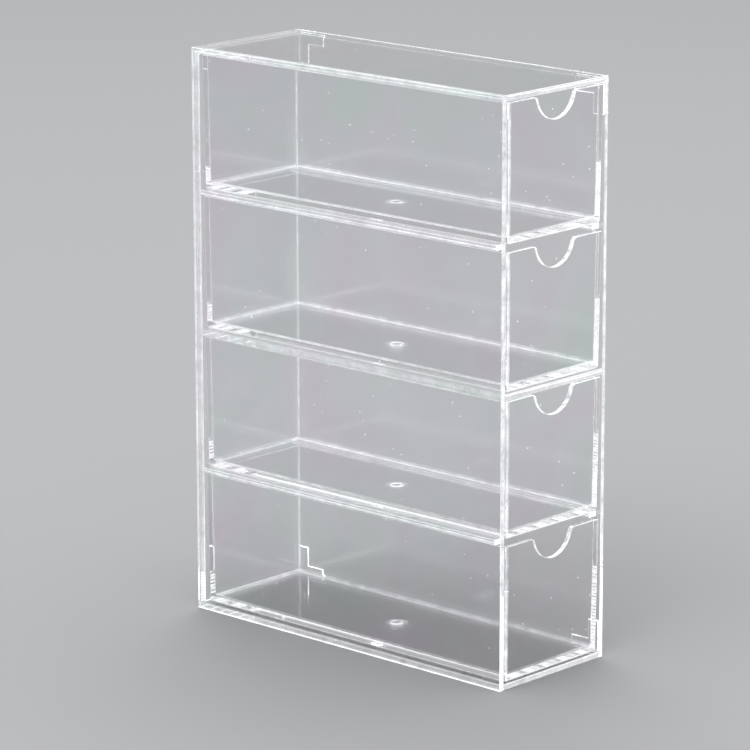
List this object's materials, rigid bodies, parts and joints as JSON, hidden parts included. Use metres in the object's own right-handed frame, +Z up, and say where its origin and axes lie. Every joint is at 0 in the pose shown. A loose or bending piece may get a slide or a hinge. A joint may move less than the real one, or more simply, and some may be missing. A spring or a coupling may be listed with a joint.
{
  "type": "drawer organizer box",
  "caption": "Tall narrow clear plastic storage box with stacked open-topped pull-out drawers, each with a curved finger notch in its front.",
  "frame": {"origin": "middle of the casing's underside, on the surface that the box stands on", "axes": "+Z up along the box's height, drawer fronts facing -Y, width along X"},
  "size_m": [0.066, 0.177, 0.25],
  "materials": {
    "clear_casing": "polished clear polystyrene or acrylic, colourless",
    "clear_drawer": "polished clear polystyrene or acrylic, colourless"
  },
  "bodies": {
    "casing": {"left_side_panel": "clear_casing", "right_side_panel": "clear_casing", "top_panel": "clear_casing", "bottom_panel": "clear_casing", "back_panel": "clear_casing", "middle_shelf": "clear_casing", "upper_left_runner": "clear_casing", "upper_right_runner": "clear_casing", "lower_left_runner": "clear_casing", "lower_right_runner": "clear_casing"},
    "top_drawer": {"top_drawer": "clear_drawer"},
    "second_drawer": {"second_drawer": "clear_drawer"},
    "third_drawer": {"third_drawer": "clear_drawer"},
    "bottom_drawer": {"bottom_drawer": "clear_drawer"}
  },
  "joints": [
    {"name": "top_drawer_slide", "type": "slide", "parent": "casing", "child": "top_drawer", "axis": [0, -1, 0], "range_m": [0, 0.15]},
    {"name": "second_drawer_slide", "type": "slide", "parent": "casing", "child": "second_drawer", "axis": [0, -1, 0], "range_m": [0, 0.15]},
    {"name": "third_drawer_slide", "type": "slide", "parent": "casing", "child": "third_drawer", "axis": [0, -1, 0], "range_m": [0, 0.15]},
    {"name": "bottom_drawer_slide", "type": "slide", "parent": "casing", "child": "bottom_drawer", "axis": [0, -1, 0], "range_m": [0, 0.15]}
  ]
}
